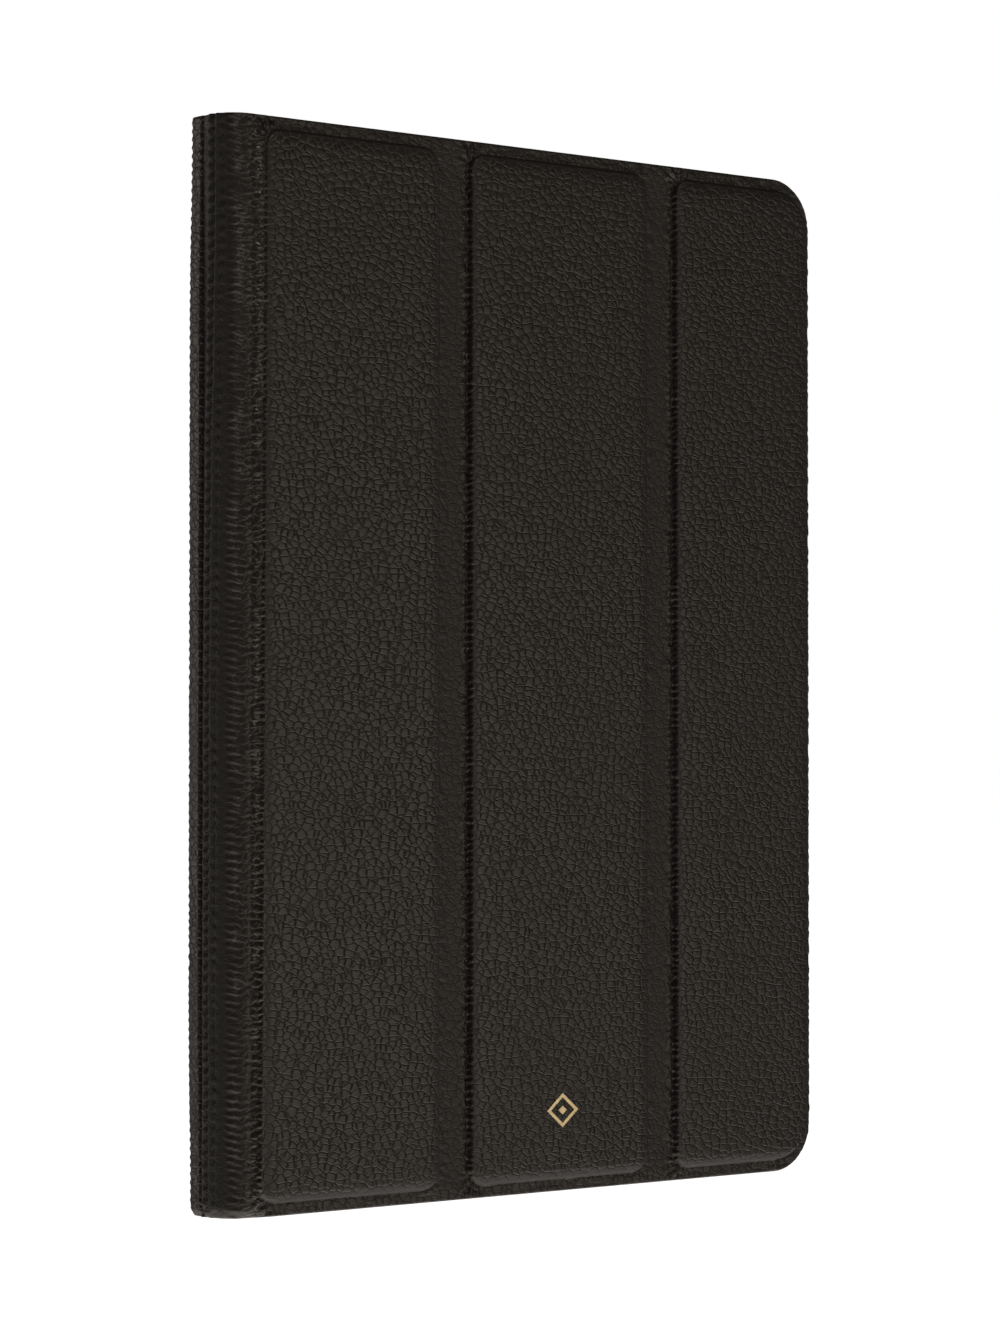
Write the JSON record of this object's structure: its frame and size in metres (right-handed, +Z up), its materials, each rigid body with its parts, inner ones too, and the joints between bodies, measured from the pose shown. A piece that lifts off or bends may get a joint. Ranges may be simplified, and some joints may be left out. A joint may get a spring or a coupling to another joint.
{
  "type": "tablet case",
  "caption": "Leather folio case for a tablet: moulded tray on a boarded back, rounded spine, and a cover of boarded panels that folds outwards into a stand.",
  "frame": {"origin": "middle of the case's footprint, on the surface that its bottom edge stands on", "axes": "+Z up along the spine, -Y out of the front cover, -X towards the spine"},
  "size_m": [0.1862, 0.0162, 0.2566],
  "materials": {
    "hide": "pebbled full-grain leather, near black brown, satin",
    "lining": "dark grey microfibre suede",
    "board": "pressed fibre board, hidden inside",
    "tray_shell": "black moulded polycarbonate, fine matt texture",
    "thread": "waxed black thread",
    "magnet": "nickel plated magnet, hidden inside",
    "foil": "hot-stamped gold foil"
  },
  "bodies": {
    "back": {"back_leather": "hide", "back_board": "board", "back_lining": "lining", "tray": "tray_shell", "tray_pad": "lining", "seam_flap": "hide", "seam_stitches": "thread"},
    "spine": {"spine_leather": "hide", "spine_lining": "lining", "spine_stitches": "thread"},
    "panel_1": {"panel_1_leather": "hide", "panel_1_board": "board", "panel_1_lining": "lining", "stand_magnets": "magnet"},
    "panel_2": {"panel_2_leather": "hide", "panel_2_board": "board", "panel_2_lining": "lining", "foil_motif": "foil"},
    "panel_3": {"panel_3_leather": "hide", "panel_3_board": "board", "panel_3_lining": "lining", "closure_magnets": "magnet", "wake_magnet": "magnet"}
  },
  "joints": [
    {"name": "spine_hinge", "type": "hinge", "parent": "back", "child": "spine", "pos_m": [-0.0934, -0.00055, 0.1283], "axis": [0, 0, -1], "range_deg": [0, 150]},
    {"name": "cover_hinge", "type": "hinge", "parent": "spine", "child": "panel_1", "pos_m": [-0.08455, -0.0068, 0.1283], "axis": [0, 0, -1], "range_deg": [0, 90]},
    {"name": "fold_1", "type": "hinge", "parent": "panel_1", "child": "panel_2", "pos_m": [-0.02585, -0.0068, 0.1283], "axis": [0, 0, -1], "range_deg": [0, 128]},
    {"name": "fold_2", "type": "hinge", "parent": "panel_2", "child": "panel_3", "pos_m": [0.04085, -0.0068, 0.1283], "axis": [0, 0, -1], "range_deg": [0, 126]}
  ],
  "couplings": [
    {"joint": "cover_hinge", "follows": "spine_hinge", "ratio": 0.6}
  ]
}
